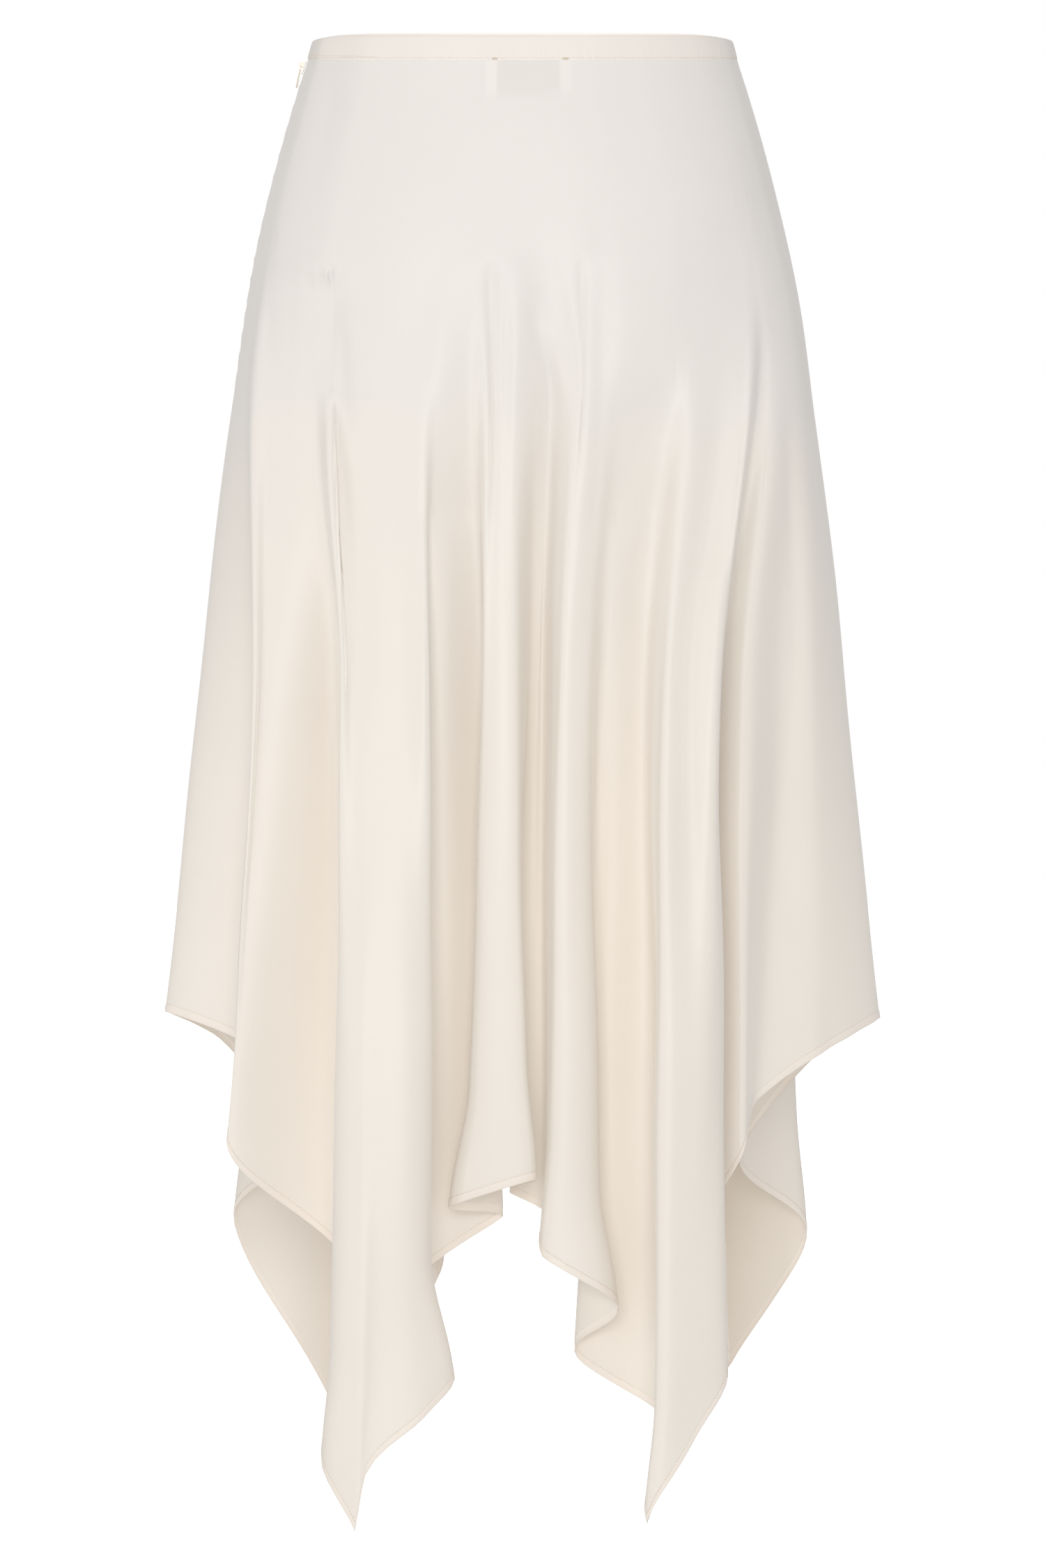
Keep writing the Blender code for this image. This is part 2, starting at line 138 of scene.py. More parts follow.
FRONT_FOLDS = (
    (171, 186, 199, 0, -32, 230, 628),
    (164, 152, 141, 0, -44, 220, 704),
    (154, 166, 175, 3, 2, 200, 751),
    (128, 126, 130, 2, 24, 250, 838),
    (108, 102, 96, -2, 50, 240, 905),
    (98, 106, 122, -3, -24, 240, 826),
    (82, 80, 86, 0, 0, 230, 790),
    (66, 64, 62, 0, -34, 200, 756),
    (42, 40, 34, 6, 26, 200, 724),
    (12, 14, 12, 0, -30, 180, 714),
    (-16, -20, -16, -5, 28, 210, 716),
    (-42, -46, -44, 0, -32, 190, 742),
    (-66, -68, -62, 4, 22, 200, 784),
    (-88, -90, -88, 0, -28, 200, 836),
    (-106, -106, -106, 2, 50, 230, 905),
    (-130, -124, -124, -2, 24, 240, 858),
    (-154, -166, -177, -4, 4, 190, 741),
    (-163, -156, -145, 0, -42, 200, 696),
    (-171, -186, -198, 0, -32, 220, 624),
)
SIDE_HEM_LEFT = 609
SIDE_HEM_RIGHT = 613
CORNER_HEM = 900
FOLD_REACH = 420.0
FOLD_BITE = 0.8
FLICK_REACH = 75.0

LINES = len(BACK_FOLDS) + len(FRONT_FOLDS) + 2
RIGHT_SEAM = len(BACK_FOLDS) + 1
BACK_HEMS = [row[-1] for row in BACK_FOLDS]
FRONT_HEMS = [row[-1] for row in FRONT_FOLDS]
LINE_HEMS = np.array([SIDE_HEM_LEFT, *BACK_HEMS, SIDE_HEM_RIGHT, *FRONT_HEMS], float)
print(LINES, "fold lines and seams round the skirt")

# %% [markdown]
# A fold line moves smoothly from the hip to the hem, so it is read with a cubic curve through its
# few known places. The same curve gives the width and depth of the filled-out form.

# %% Curves down the skirt
def smooth_through(levels, values, drops):
    """A cubic through the values at the levels, whose slope at each level is the mean of its two sides."""
    levels = np.asarray(levels, float)
    values = np.asarray(values, float)
    slopes = np.gradient(values, levels)
    cell = np.clip(np.searchsorted(levels, drops) - 1, 0, len(levels) - 2)
    step = levels[cell + 1] - levels[cell]
    share = (drops - levels[cell]) / step
    inside = np.clip(share, 0, 1)
    past = (share - inside) * step * slopes[np.where(share < 0, cell, cell + 1)]
    square, cube = inside ** 2, inside ** 3
    start = (2 * cube - 3 * square + 1) * values[cell] + (cube - 2 * square + inside) * step * slopes[cell]
    end = (3 * square - 2 * cube) * values[cell + 1] + (cube - square) * step * slopes[cell + 1]
    return start + end + past


def ease(share):
    """A soft step from 0 to 1: three times the square less twice the cube."""
    share = np.clip(share, 0, 1)
    return share * share * (3 - 2 * share)


def profile(name, drops):
    """Half width or depth of the filled-out form at the drops."""
    column = PROFILE_COLUMNS.index(name)
    return smooth_through([row[0] for row in PROFILE], [row[column] for row in PROFILE], drops)


def fold_line(row, side, drops):
    """Plan place of one fold line: a rounded oval at its sideways place, plus the fold's own depth."""
    fold = dict(zip(FOLD_COLUMNS, row))
    waist_share = profile("half_width", WAIST_LEVEL) / profile("half_width", HIP_LEVEL)
    places = (fold["hip"] * waist_share, fold["hip"], fold["mid"], fold["low"])
    x = smooth_through(FOLD_LEVELS, places, drops)
    x = x + fold["flick"] * ease((drops - fold["hem"] + FLICK_REACH) / FLICK_REACH)
    share = np.clip(np.abs(x) / profile("half_width", drops), 0, 0.999)
    depth = profile("back_depth" if side < 0 else "front_depth", drops)
    rounded = (1 - share ** SQUARENESS) ** (1 / SQUARENESS)
    growth = ease(np.clip((drops - fold["start"]) / FOLD_REACH, 0, 1) ** FOLD_BITE)
    return x, side * (depth * rounded + fold["out"] * growth)


def all_lines(drops):
    """Every fold line and both side seams, as arrays (line, drop)."""
    half_width = profile("half_width", drops)
    lines = [(-half_width, np.zeros_like(drops))]
    lines += [fold_line(row, -1, drops) for row in BACK_FOLDS]
    lines += [(half_width, np.zeros_like(drops))]
    lines += [fold_line(row, 1, drops) for row in FRONT_FOLDS]
    return np.array([line[0] for line in lines]), np.array([line[1] for line in lines])


# %% [markdown]
# At any height the cloth is one closed curve through the fold lines. A centripetal spline is used,
# because it never loops between two close points, so the cloth can turn back under a fold without
# crossing itself. The place round the skirt is counted in fold lines: 4.5 is halfway between
# lines 4 and 5.

# %% The cloth as a surface of two parameters
TOP_LEVEL = -40
LOWEST_LEVEL = 980
STEP_ALONG = 0.02
STEP_DOWN = 1.0
LEVELS = np.stack(all_lines(np.arange(TOP_LEVEL, LOWEST_LEVEL + 1, dtype=float)))


def line_places(lines, drops):
    """Plan places of fold lines, read between whole millimetres of height."""
    height = np.clip(drops - TOP_LEVEL, 0, LOWEST_LEVEL - TOP_LEVEL - 1e-6)
    level = height.astype(int)
    share = height - level
    return LEVELS[:, lines, level] * (1 - share) + LEVELS[:, lines, level + 1] * share


def plan(around, drops):
    """Points of the outer surface: a centripetal spline through the four nearest fold lines."""
    around, drops = np.broadcast_arrays(np.asarray(around, float), np.asarray(drops, float))
    flat = around.ravel() % LINES
    first = np.floor(flat).astype(int)
    near = [line_places((first + k) % LINES, drops.ravel()) for k in (-1, 0, 1, 2)]
    knots = [np.zeros(flat.size)]
    for before, after in zip(near, near[1:]):
        knots.append(knots[-1] + np.sqrt(np.hypot(*(after - before))) + 1e-9)
    place = knots[1] + (flat - first) * (knots[2] - knots[1])

    def mix(low, high, start, end):
        return low * (end - place) / (end - start) + high * (place - start) / (end - start)

    pairs = [mix(near[k], near[k + 1], knots[k], knots[k + 1]) for k in range(3)]
    curves = [mix(pairs[k], pairs[k + 1], knots[k], knots[k + 2]) for k in range(2)]
    x, y = mix(curves[0], curves[1], knots[1], knots[2])
    return np.stack([x, y, -drops.ravel()], axis=1).reshape(around.shape + (3,))


def outward(around, drops):
    """Unit normals: the cross product of the step along the cloth and the step up it."""
    around, drops = np.asarray(around, float), np.asarray(drops, float)
    along = plan(around + STEP_ALONG, drops) - plan(around - STEP_ALONG, drops)
    upward = plan(around, drops - STEP_DOWN) - plan(around, drops + STEP_DOWN)
    normal = np.cross(along, upward)
    return normal / np.linalg.norm(normal, axis=-1, keepdims=True)


def segment_lengths(drop):
    """Straight distance from each line to the next at one height."""
    xs, ys = all_lines(np.array([float(drop)]))
    return np.hypot(np.roll(xs[:, 0], -1) - xs[:, 0], np.roll(ys[:, 0], -1) - ys[:, 0])


LOW_LENGTHS = segment_lengths(LOW_LEVEL)
LOW_TRAVEL = np.concatenate([[0], np.cumsum(LOW_LENGTHS)])
print("round the hem", round(float(LOW_TRAVEL[-1])), "mm")

# %% [markdown]
# A handkerchief hem is cut with straight edges that meet in corners. Between two fold lines the hem
# is a smooth cubic, but at a corner each side keeps its own slope, so the point stays sharp.

# %% Where the cloth ends
def hem_drop(around):
    """Height of the cut edge, smooth through the fold lines and sharp at the corners."""
    rise = np.roll(LINE_HEMS, -1) - LINE_HEMS
    steep = rise / LOW_LENGTHS
    behind = np.roll(steep, 1)
    turning = np.where(behind * steep > 0, 2 * behind * steep / (behind + steep + 1e-12), 0)
    corner = LINE_HEMS > CORNER_HEM
    around = np.asarray(around, float) % LINES
    first = np.floor(around).astype(int)
    after = (first + 1) % LINES
    share = around - first
    leave = np.where(corner[first], steep[first], turning[first]) * LOW_LENGTHS[first]
    arrive = np.where(corner[after], steep[first], turning[after]) * LOW_LENGTHS[first]
    square, cube = share ** 2, share ** 3
    start = (2 * cube - 3 * square + 1) * LINE_HEMS[first] + (cube - 2 * square + share) * leave
    return start + (3 * square - 2 * cube) * LINE_HEMS[after] + (cube - square) * arrive


def waist_lift(around):
    """How far the tilted waist lies above the origin, all round."""
    return WAIST_TILT * plan(around, WAIST_LEVEL)[..., 1]


# %% [markdown]
# Satin that hangs from a seam also shows creases beside its main folds. They are listed one row
# each: three heights down the cloth with the crease's sideways place at each, how wide it is on
# its left and on its right, and how far it rises. A crease is sharp in its middle and falls off
# slowly, often more slowly on one side, and it fades out at both ends.

# %% Creases, one row each
CREASE_COLUMNS = ("top", "top_x", "mid", "mid_x", "low", "low_x", "left", "right", "rise")
BACK_CREASES = (
    (120, -160, 343, -164, 640, -178, 14, 24, -7.5),
    (88, -150, 150, -156, 240, -165, 8, 8, 1.1),
    (150, -146, 240, -150, 330, -152, 8, 8, -0.9),
    (150, -122, 225, -125, 310, -118, 44, 24, -9.0),
    (222, -116, 430, -116, 760, -118, 20, 56, -7.0),
    (146, -20, 260, -22, 560, -24, 24, 16, -5.0),
    (140, -13, 200, -14, 300, -15, 8, 8, 1.2),
    (170, -10, 300, -8, 480, 0, 14, 14, -3.0),
    (170, 6, 220, 18, 262, 26, 9, 9, -1.8),
    (176, 14, 215, 24, 250, 31, 7, 7, 1.2),
    (190, 27, 225, 30, 262, 33, 8, 8, -1.2),
    (140, 37, 240, 30, 420, 20, 24, 20, -4.0),
    (160, 46, 343, 44, 640, 46, 12, 14, -1.5),
    (212, 88, 343, 80, 700, 76, 40, 20, -3.0),
    (100, 148, 230, 140, 360, 134, 74, 20, -5.0),
    (190, 158, 430, 156, 640, 152, 20, 22, -3.0),
    (220, 164, 360, 171, 500, 162, 8, 10, -2.2),
    (300, 176, 460, 185, 600, 196, 16, 16, 1.6),
    (30, -120, 60, -124, 96, -131, 9, 9, -1.0),
    (10, -131, 24, -124, 46, -112, 12, 12, -1.9),
    (14, -112, 30, -108, 56, -100, 9, 9, 0.6),
    (380, 150, 520, 165, 606, 190, 18, 18, -1.4),
    (140, -20, 200, -20, 300, -22, 6, 8, -2.2),
    (150, -10, 200, -10, 260, -9, 5, 6, -1.3),
    (138, 37, 200, 35, 300, 31, 7, 6, -2.3),
    (165, 24, 205, 28, 250, 32, 6, 6, -1.3),
    (186, -113, 260, -115, 350, -115, 7, 14, -2.6),
    (96, -160, 150, -161, 240, -162, 7, 7, -1.6),
    (300, 56, 560, 54, 850, 54, 24, 40, 11.0),
    (300, -54, 560, -52, 800, -52, 14, 30, 11.0),
    (230, 8, 460, 8, 720, 14, 24, 20, 4.0),
    (330, 120, 560, 112, 760, 106, 16, 16, 6.0),
)
FRONT_CREASES = (
    (20, 134, 60, 142, 110, 150, 9, 9, 0.8),
    (100, 150, 200, 154, 300, 156, 9, 12, -2.8),
    (170, 120, 330, 112, 640, 104, 10, 30, -5.0),
    (150, 104, 300, 98, 470, 94, 12, 12, 1.6),
    (190, 78, 360, 80, 620, 84, 12, 14, -3.4),
    (140, 48, 320, 44, 560, 40, 10, 12, -4.4),
    (130, 40, 240, 36, 380, 34, 10, 10, 1.4),
    (120, 8, 300, 4, 540, 2, 12, 9, -4.6),
    (150, -2, 260, -6, 400, -8, 8, 8, 1.2),
    (130, -34, 320, -32, 600, -30, 9, 12, -4.0),
    (160, -70, 340, -74, 640, -78, 16, 9, -3.4),
    (110, -80, 220, -84, 360, -88, 10, 10, 1.3),
    (180, -116, 360, -114, 660, -116, 30, 10, -5.0),
    (120, -130, 240, -136, 380, -140, 10, 10, 1.4),
    (90, -148, 200, -156, 320, -160, 12, 9, -3.0),
    (20, -122, 50, -130, 90, -138, 8, 8, 0.9),
)
CREASE_BITE = 2.6
SWELLS = ((7, 0.021, 0.4), (4, 0.013, 2.1), (12, 0.034, 4.4))
SWELL_RISE = 0.4
ZIP_BOTTOM = 204.0
PUCKER_PITCH = 13.0
PUCKER_REACH = 7.0
PUCKER_RISE = 0.35


def crease_height(x, drops, creases):
    """Sum of the creases: each is rounded at its middle, decays on both sides and is a half sine along."""
    height = np.zeros_like(drops)
    for values in creases:
        crease = dict(zip(CREASE_COLUMNS, values))
        levels = (crease["top"], crease["mid"], crease["low"])
        middle = smooth_through(levels, (crease["top_x"], crease["mid_x"], crease["low_x"]), drops)
        share = np.clip((drops - crease["top"]) / (crease["low"] - crease["top"]), 0, 1)
        along = np.sin(math.pi * share ** 0.6) ** 0.7
        reach = np.where(x < middle, crease["left"], crease["right"])
        across = np.exp(1 - np.sqrt(1 + (CREASE_BITE * (x - middle) / reach) ** 2))
        height += crease["rise"] * across * along
    return height


def from_left_seam(around):
    """Rough distance along the cloth from the left side seam, in millimetres."""
    around = np.asarray(around, float) % LINES
    return np.minimum(around * LOW_LENGTHS[0], (LINES - around) * LOW_LENGTHS[-1])


def cloth_relief(around, drops, above_hem):
    """Creases, slow swells, the pull of the zip's seam and the turned hem, in millimetres."""
    x = plan(around, drops)[..., 0]
    creases = BACK_CREASES if np.mean(around) < RIGHT_SEAM else FRONT_CREASES
    facing = outward(around, drops)[..., 1] ** 2
    height = facing * crease_height(x, drops, creases)
    fade = ease((drops - 60) / 120)
    for turns, pace, start in SWELLS:
        height += SWELL_RISE * fade * np.sin(turns * around * 2 * math.pi / LINES + pace * drops + start)
    zipped = ease((drops - 8) / 20) * ease((ZIP_BOTTOM + 20 - drops) / 30)
    wave = np.sin(2 * math.pi * drops / PUCKER_PITCH + 1.3 * np.sin(drops / 23))
    height += PUCKER_RISE * zipped * wave * np.exp(-from_left_seam(around) / PUCKER_REACH)
    return height + turned_hem(around, above_hem)


# %% [markdown]
# The hem is turned twice, so it is three layers thick. From outside this shows as a narrow band
# that stands a little proud below its row of stitches, and the stitches pull it into small waves.

# %% The turned hem
HEM_RISE = 0.30
HEM_GROOVE = 0.16
HEM_EDGE_ROUND = 0.25
HEM_WAVE = 0.35
HEM_WAVE_REACH = 9.0
HEM_ROWS = (7.5, 6.3, 5.8, 5.3, 4.8, 4.2, 2.8, 1.4, 0.5, 0.15, 0.0)


def turned_hem(around, above_hem):
    """A soft step up below the stitches, a groove at them, a rounded edge and slow waves along it."""
    step = HEM_RISE * ease((HEM_DEPTH + 0.3 - above_hem) / 1.0)
    groove = HEM_GROOVE * np.exp(-((above_hem - HEM_DEPTH) / 0.5) ** 2)
    edge = HEM_EDGE_ROUND * ease((0.5 - above_hem) / 0.5)
    travel = np.interp(around, np.arange(LINES + 1), LOW_TRAVEL)
    wave = np.sin(travel / 4.3) + 0.6 * np.sin(travel / 7.9 + 1.0)
    wave = wave * ease(from_left_seam(around) / 20)
    return step - groove - edge + HEM_WAVE * wave * np.exp(-above_hem / HEM_WAVE_REACH)


# %% [markdown]
# Every cloth piece is a thin closed shell: an outer grid, an inner grid and a rim that joins them.
# The grid's own lengths become its UV map in metres, so the weave follows the cloth round each fold.

# %% Grid meshes
def shell_mesh(name, outer, inner, travel, heights):
    """A closed shell between two grids (row, column, 3) in millimetres, with a UV map in metres."""
    rows, columns = outer.shape[:2]
    count = rows * columns
    vertices = np.concatenate([outer.reshape(-1, 3), inner.reshape(-1, 3)]) * MM
    index = np.arange(count).reshape(rows, columns)
    a, b = index[:-1, :-1].ravel(), index[:-1, 1:].ravel()
    c, d = index[1:, :-1].ravel(), index[1:, 1:].ravel()
    quads = [np.stack([a, c, d, b], 1), np.stack([a, b, d, c], 1) + count]
    top, low, left, right = index[0], index[-1], index[:, 0], index[:, -1]
    quads.append(np.stack([top[:-1], top[1:], top[1:] + count, top[:-1] + count], 1))
    quads.append(np.stack([low[1:], low[:-1], low[:-1] + count, low[1:] + count], 1))
    quads.append(np.stack([left[:-1], left[:-1] + count, left[1:] + count, left[1:]], 1))
    quads.append(np.stack([right[:-1], right[1:], right[1:] + count, right[:-1] + count], 1))
    uv = np.stack([travel.ravel(), heights.ravel()], 1) * MM
    return grid_object(name, vertices, np.concatenate(quads), np.concatenate([uv, uv]))


def grid_object(name, vertices, quads, uv=None, smooth=True):
    """A mesh object from arrays of points and quads, with the points' UV places."""
    mesh = bpy.data.meshes.new(name)
    mesh.vertices.add(len(vertices))
    mesh.vertices.foreach_set("co", np.asarray(vertices, np.float32).ravel())
    mesh.loops.add(quads.size)
    mesh.loops.foreach_set("vertex_index", quads.ravel().astype(np.int32))
    mesh.polygons.add(len(quads))
    mesh.polygons.foreach_set("loop_start", np.arange(0, quads.size, 4, dtype=np.int32))
    mesh.update(calc_edges=True)
    if uv is not None:
        layer = mesh.uv_layers.new(name="cloth")
        layer.data.foreach_set("uv", uv[quads.ravel()].astype(np.float32).ravel())
    if smooth:
        mesh.polygons.foreach_set("use_smooth", np.ones(len(quads), bool))
    mesh.validate()
    piece = bpy.data.objects.new(name, mesh)
    bpy.context.scene.collection.objects.link(piece)
    return piece


def point_values(piece, name, values):
    """Stores one number for each point, for a material to read."""
    layer = piece.data.attributes.new(name, "FLOAT", "POINT")
    layer.data.foreach_set("value", np.asarray(values, np.float32).ravel())


# %% [markdown]
# Each panel is worked out in one go as a grid of columns round the skirt and rows down it. The
# columns lie closer where the cloth turns, and the last rows lie close together for the hem.

# %% Back and front panels
CLOTH = 0.5
COLUMN_WIDTH = 4.7
CLOTH_ROWS = 138
BAND_TUCK = 1.0
RIM_ROWS = (0.0, 0.15, 0.4)
RIM_COLUMN = 0.012
# INNER_GLOW and SIDE_GLOW set the painted glow of the inner face and of the sides.
INNER_GLOW = 1.1
SIDE_GLOW = 0.3
TONE_EDGE = 238.0
VALLEY_START = 26.0
VALLEY_REACH = 42.0
LABEL_LEFT = -23.0
LABEL_RIGHT = 30.3
LABEL_TOP = 18.5
LABEL_BOTTOM = 36.5
LABEL_LEVEL = 27.0
LABEL_FOLD = 7.0


def soft_box(value, low, high, blur):
    """1 between low and high, fading to 0 over the blur."""
    return ease((value - low) / blur + 0.5) * ease((high - value) / blur + 0.5)


def valley_depth(surface, drops):
    """How deep a point lies among the folds, 0 on a ridge and 1 on the floor of a valley, fading towards
    the sides: the mask of the painted glow.
    """
    side = np.where(surface[..., 1] < 0, -1, 1)
    share = np.clip(np.abs(surface[..., 0]) / profile("half_width", drops), 0, 0.999)
    depth = np.where(side < 0, profile("back_depth", drops), profile("front_depth", drops))
    oval = depth * (1 - share ** SQUARENESS) ** (1 / SQUARENESS)
    behind = oval - side * surface[..., 1]
    deep = ease((behind + VALLEY_START) / VALLEY_REACH) * ease((drops - HIP_LEVEL) / FOLD_REACH)
    return deep * (1 - (1 - SIDE_GLOW) * ease((share - 0.45) / 0.2))


def panel_columns(first_line, last_line):
    """Column places whose spacing at the hem is about one column width."""
    places = []
    for line in range(first_line, last_line):
        parts = max(3, math.ceil(LOW_LENGTHS[line % LINES] / COLUMN_WIDTH))
        places.append(line + np.arange(parts) / parts)
    beside_seams = [first_line + RIM_COLUMN, last_line - RIM_COLUMN]
    return np.sort(np.concatenate(places + [beside_seams, [last_line]]))


def both_sides(values):
    """The same values for the outer and the inner face of a shell."""
    return np.concatenate([values.ravel(), values.ravel()])


def satin_panel(name, first_line, last_line):
    """One panel: the plan surface moved out by its relief, and the same surface moved in by the cloth."""
    columns = panel_columns(first_line, last_line)
    top = BAND_HEIGHT / 2 - BAND_TUCK - waist_lift(columns)
    bottom = hem_drop(columns)
    shares = np.linspace(0, 1, CLOTH_ROWS)[:, None]
    rim_rows = top[None, :] + np.array(RIM_ROWS)[:, None]
    body_top = top + 1.0
    body_rows = body_top + (bottom - HEM_ROWS[0] - body_top) * shares
    hem_rows = bottom[None, :] - np.array(HEM_ROWS[1:])[:, None]
    drops = np.concatenate([rim_rows, body_rows, hem_rows])
    around = np.repeat(columns[None, :], len(drops), axis=0)
    around[:, 0] += SEAM_GAP / 2 / LOW_LENGTHS[first_line % LINES]
    around[:, -1] -= SEAM_GAP / 2 / LOW_LENGTHS[(last_line - 1) % LINES]
    surface = plan(around, drops)
    normal = outward(around, drops)
    above_hem = bottom[None, :] - drops
    relief = cloth_relief(around, drops, above_hem)
    outer = surface + normal * relief[..., None]
    inner = outer - normal * CLOTH
    travel = np.interp(around, np.arange(LINES + 1), LOW_TRAVEL)
    piece = shell_mesh(name, outer, inner, travel, drops)
    point_values(piece, "above_hem", both_sides(above_hem * MM))
    # Painted tint for light through the cloth: cooler above a wavy edge, warmer below it and further down.
    edge = TONE_EDGE + 6 * np.sin(around * 1.7) + 9 * ease((surface[..., 0] + 20) / 60)
    painted_warmth = ease((drops - edge) / 26 + 0.5) * 0.35 + 0.65 * ease((drops - 120) / 420)
    point_values(piece, "painted_warmth", both_sides(painted_warmth))
    # Painted glow: an emission mask, strongest on valley floors and INNER_GLOW over the inner face,
    # standing in for light through the thin cloth.
    painted_glow = valley_depth(surface, drops)
    glow = np.concatenate([painted_glow.ravel(), np.full(painted_glow.size, INNER_GLOW)])
    point_values(piece, "painted_glow", glow)
    # Painted shade and painted light of the label seen through the satin: darker over its middle, lighter
    # over its folded ends.
    behind = soft_box(drops, LABEL_TOP - 10, LABEL_BOTTOM, 1.6) * (surface[..., 1] < 0)
    whole = soft_box(surface[..., 0], LABEL_LEFT, LABEL_RIGHT, 1.6)
    middle = soft_box(surface[..., 0], LABEL_LEFT + LABEL_FOLD, LABEL_RIGHT - LABEL_FOLD, 1.6)
    point_values(piece, "painted_label_shade_mask", both_sides(behind * middle))
    point_values(piece, "painted_label_light_mask", both_sides(behind * (whole - middle)))
    # Painted shade: a dark brown line along the left seam beside the zip, where the seam's opening lies in
    # shade.
    painted_seam_shade = ease((1.6 - from_left_seam(around)) / 1.4) * soft_box(drops, 12, 62, 14)
    point_values(piece, "painted_seam_shade", both_sides(0.7 * painted_seam_shade))
    return piece


back_cloth = satin_panel("back_cloth", 0, RIGHT_SEAM)
front_cloth = satin_panel("front_cloth", RIGHT_SEAM, LINES)
print("back", len(back_cloth.data.polygons), "front", len(front_cloth.data.polygons), "quads")

# %% [markdown]
# The waistband is one strip, folded over at the top and stitched to the panels at the bottom. Its
# section is a flat oval with tight rounded ends, carried round the waist. It is open at the zip.

# %% Waistband
BAND_COLUMNS = 520
BAND_SECTION = 28
BAND_BOX = 5.0
BAND_PUFF = 0.25
BAND_PUCKER = 0.14
BAND_STITCH_HEIGHT = 1.6


def band_frame(places):
    """The band's top and bottom heights at each place, with the dip at its side corners and the waist's
    tilt.
    """
    spread = np.abs(plan(places, WAIST_LEVEL)[:, 0]) / profile("half_width", WAIST_LEVEL)
    lift = waist_lift(places)
    top = -BAND_HEIGHT / 2 + BAND_CORNER_DIP * spread ** BAND_CORNER_POWER - lift
    bottom = BAND_HEIGHT / 2 - lift
    return top, bottom


def band_surface(places, heights):
    """Points of the band's outer face. heights runs from 0 at the seam to 1 at the folded top."""
    top, bottom = band_frame(places)
    drops = bottom + (top - bottom) * heights
    surface = plan(places, drops)
    normal = outward(places, drops)
    normal[..., 2] = 0
    return surface, normal


def make_band():
    """A rounded section carried round the waist: powers of sine and cosine make its flat sides."""
    gap = SEAM_GAP / 2 / segment_lengths(WAIST_LEVEL)[0]
    places = np.linspace(gap, LINES - gap, BAND_COLUMNS)
    turn = np.linspace(0, 2 * math.pi, BAND_SECTION, endpoint=False)
    out = np.sign(np.cos(turn)) * np.abs(np.cos(turn)) ** (2 / BAND_BOX)
    up = np.sign(np.sin(turn)) * np.abs(np.sin(turn)) ** (2 / BAND_BOX)
    rows = []
    for across, height in zip(out, (up + 1) / 2):
        surface, normal = band_surface(places, np.full(len(places), height))
        thick = BAND_WALL / 2 * across
        puff = BAND_PUFF * (1 - (2 * height - 1) ** 2) * max(across, 0)
        pull = BAND_PUCKER * np.sin(places * 9.1 + 1.5 * np.sin(places * 2.3)) * math.exp(-height * 4)
        offset = BAND_PROUD - BAND_WALL / 2 + thick + puff + pull * max(across, 0)
        rows.append(surface + normal * offset[..., None])
    ring = np.array(rows)
    sections, columns = ring.shape[:2]
    index = np.arange(sections * columns).reshape(sections, columns)
    wrapped = np.concatenate([index, index[:1]])
    a, b = wrapped[:-1, :-1].ravel(), wrapped[:-1, 1:].ravel()
    c, d = wrapped[1:, :-1].ravel(), wrapped[1:, 1:].ravel()
    quads = [np.stack([a, b, d, c], 1)]
    half = sections // 2
    for column, flip in ((0, False), (columns - 1, True)):
        loop = index[:, column]
        left = np.array([loop[k] for k in range(half)])
        right = np.array([loop[(-1 - k) % sections] for k in range(half)])
        cap = np.stack([left[:-1], left[1:], right[1:], right[:-1]], 1)
        quads.append(cap[:, ::-1] if flip else cap)
    travel = np.linspace(0, segment_lengths(WAIST_LEVEL).sum(), columns)[None, :] * np.ones((sections, 1))
    heights = (up * BAND_HEIGHT / 2)[:, None] * np.ones((1, columns))
    uv = np.stack([travel.ravel(), heights.ravel()], 1) * MM
    band = grid_object("waistband_cloth", ring.reshape(-1, 3) * MM, np.concatenate(quads), uv)
    point_values(band, "inside", np.repeat((out < 0).astype(float), columns))
    return band


waistband_cloth = make_band()
print("waistband", len(waistband_cloth.data.polygons), "quads")

# %% [markdown]
# A machine stitch is a short thread that dips into the cloth at both ends. One stitch is a small
# six-sided spindle, and a whole row is made at once by placing the spindle along a path of arrays.

# %% Stitch rows
THREAD = 0.16
STITCH_SIDES = 6
STITCH_RINGS = np.array([-1.0, -0.62, 0.0, 0.62, 1.0])


def stitch_row(name, starts, ends, normals):
    """Spindles from starts to ends: each ring's radius and lift follow a half circle, so ends dip in."""
    count = len(starts)
    along = ends - starts
    middle = (starts + ends) / 2
    side = np.cross(along, normals)
    side /= np.linalg.norm(side, axis=1, keepdims=True)
    up = normals
    turn = np.arange(STITCH_SIDES) * 2 * math.pi / STITCH_SIDES
    swell = np.sqrt(np.clip(1.02 - STITCH_RINGS ** 2, 0, 1))
    rings = []
    for place, fat in zip(STITCH_RINGS, swell):
        centre = middle + along * place / 2 + up * (THREAD * (1.5 * fat - 0.9))
        circle = [centre + THREAD * fat * (math.cos(t) * side + math.sin(t) * up) for t in turn]
        rings.append(np.stack(circle, axis=1))
    points = np.stack(rings, axis=1).reshape(-1, 3)
    per = len(STITCH_RINGS) * STITCH_SIDES
    quads = []
    for ring in range(len(STITCH_RINGS) - 1):
        for k in range(STITCH_SIDES):
            a = ring * STITCH_SIDES + k
            b = ring * STITCH_SIDES + (k + 1) % STITCH_SIDES
            quads.append((a, b, b + STITCH_SIDES, a + STITCH_SIDES))
    last = (len(STITCH_RINGS) - 1) * STITCH_SIDES
    quads += [(0, 3, 2, 1), (0, 5, 4, 3)]
    quads += [(last, last + 1, last + 2, last + 3), (last, last + 3, last + 4, last + 5)]
    quads = np.array(quads)
    faces = (quads[None] + per * np.arange(count)[:, None, None]).reshape(-1, 4)
    return grid_object(name, points * MM, faces)


def row_points(path, pitch):
    """Places spaced one pitch apart along a dense path, as shares of its index."""
    steps = np.linalg.norm(np.diff(path, axis=0), axis=1)
    travel = np.concatenate([[0], np.cumsum(steps)])
    count = int(travel[-1] / pitch)
    return np.interp(np.arange(count + 1) * pitch, travel, np.arange(len(path)))


